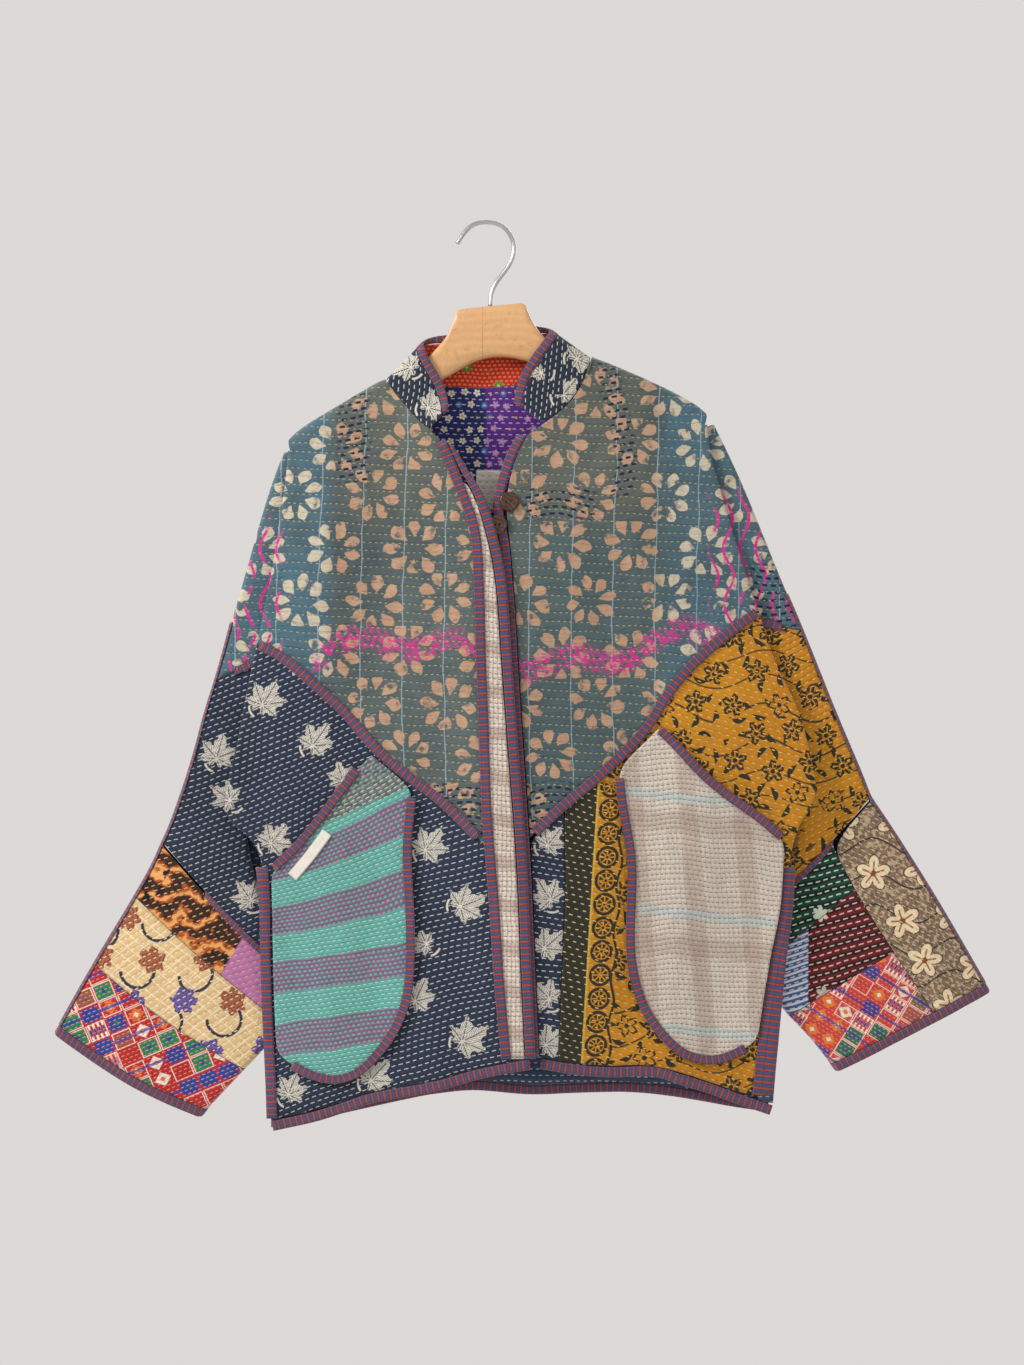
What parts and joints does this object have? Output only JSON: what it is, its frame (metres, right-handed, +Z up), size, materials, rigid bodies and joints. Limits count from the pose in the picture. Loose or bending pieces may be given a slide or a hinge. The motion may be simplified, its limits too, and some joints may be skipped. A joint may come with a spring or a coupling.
{
  "type": "patchwork jacket on a wooden hanger",
  "caption": "Loose quilted cotton jacket with stand collar, wide patched cuffs and patch pockets, hanging flat and open on a shaped wooden hanger with a steel hook.",
  "frame": {"origin": "inner top of the hanger's hook, where it rests on a rail or peg", "axes": "+Z up, +Y toward the wall behind, the jacket's front faces -Y, +X to the viewer's right"},
  "size_m": [0.9467, 0.0665, 0.9154],
  "materials": {
    "beech": "satin lacquer",
    "steel": "satin",
    "slate_cloth": "quilted cotton",
    "navy_cloth": "quilted cotton",
    "teal_cloth": "quilted cotton",
    "cream_cloth": "quilted cotton",
    "mustard_cloth": "quilted cotton",
    "batik_cloth": "quilted cotton",
    "lattice_cloth": "quilted cotton",
    "red_cloth": "quilted cotton",
    "green_cloth": "quilted cotton",
    "maroon_cloth": "quilted cotton",
    "coral_cloth": "quilted cotton",
    "floral_cloth": "quilted cotton",
    "tape_cloth": "woven cotton tape",
    "button_shell": "polished"
  },
  "bodies": {
    "root": {"back_panel": "slate_cloth", "button_1": "button_shell", "button_2": "button_shell", "button_3": "button_shell", "collar": "navy_cloth", "cuff_batik_l": "batik_cloth", "cuff_coral_r": "coral_cloth", "cuff_floral_r": "floral_cloth", "cuff_green_r": "green_cloth", "cuff_lattice_l": "lattice_cloth", "cuff_maroon_r": "maroon_cloth", "cuff_red_l": "red_cloth", "hanger_body": "beech", "hanger_hook": "steel", "label": "cream_cloth", "lower_front_l": "navy_cloth", "lower_front_r_mustard": "mustard_cloth", "lower_front_r_navy": "navy_cloth", "placket": "cream_cloth", "pocket_l": "teal_cloth", "pocket_r": "cream_cloth", "sleeve_cuff_back_l": "lattice_cloth", "sleeve_cuff_back_r": "mustard_cloth", "sleeve_middle_back_l": "navy_cloth", "sleeve_middle_back_r": "mustard_cloth", "sleeve_middle_front_l": "navy_cloth", "sleeve_middle_front_r": "mustard_cloth", "sleeve_upper_back_l": "slate_cloth", "sleeve_upper_back_r": "slate_cloth", "sleeve_upper_front_l": "slate_cloth", "sleeve_upper_front_r": "slate_cloth", "tape_collar": "tape_cloth", "tape_cuff_edge_l": "tape_cloth", "tape_cuff_edge_r": "tape_cloth", "tape_cuff_seam_l": "tape_cloth", "tape_cuff_seam_r": "tape_cloth", "tape_front_l": "tape_cloth", "tape_front_r": "tape_cloth", "tape_hem_back": "tape_cloth", "tape_hem_l": "tape_cloth", "tape_hem_r": "tape_cloth", "tape_mouth_l": "tape_cloth", "tape_mouth_r": "tape_cloth", "tape_overarm_l": "tape_cloth", "tape_overarm_r": "tape_cloth", "tape_placket": "tape_cloth", "tape_pocket_l": "tape_cloth", "tape_pocket_r": "tape_cloth", "tape_side_l": "tape_cloth", "tape_side_r": "tape_cloth", "tape_sleeve_l": "tape_cloth", "tape_sleeve_r": "tape_cloth", "tape_yoke_l": "tape_cloth", "tape_yoke_r": "tape_cloth", "yoke_front_l": "slate_cloth", "yoke_front_r": "slate_cloth"}
  },
  "joints": []
}
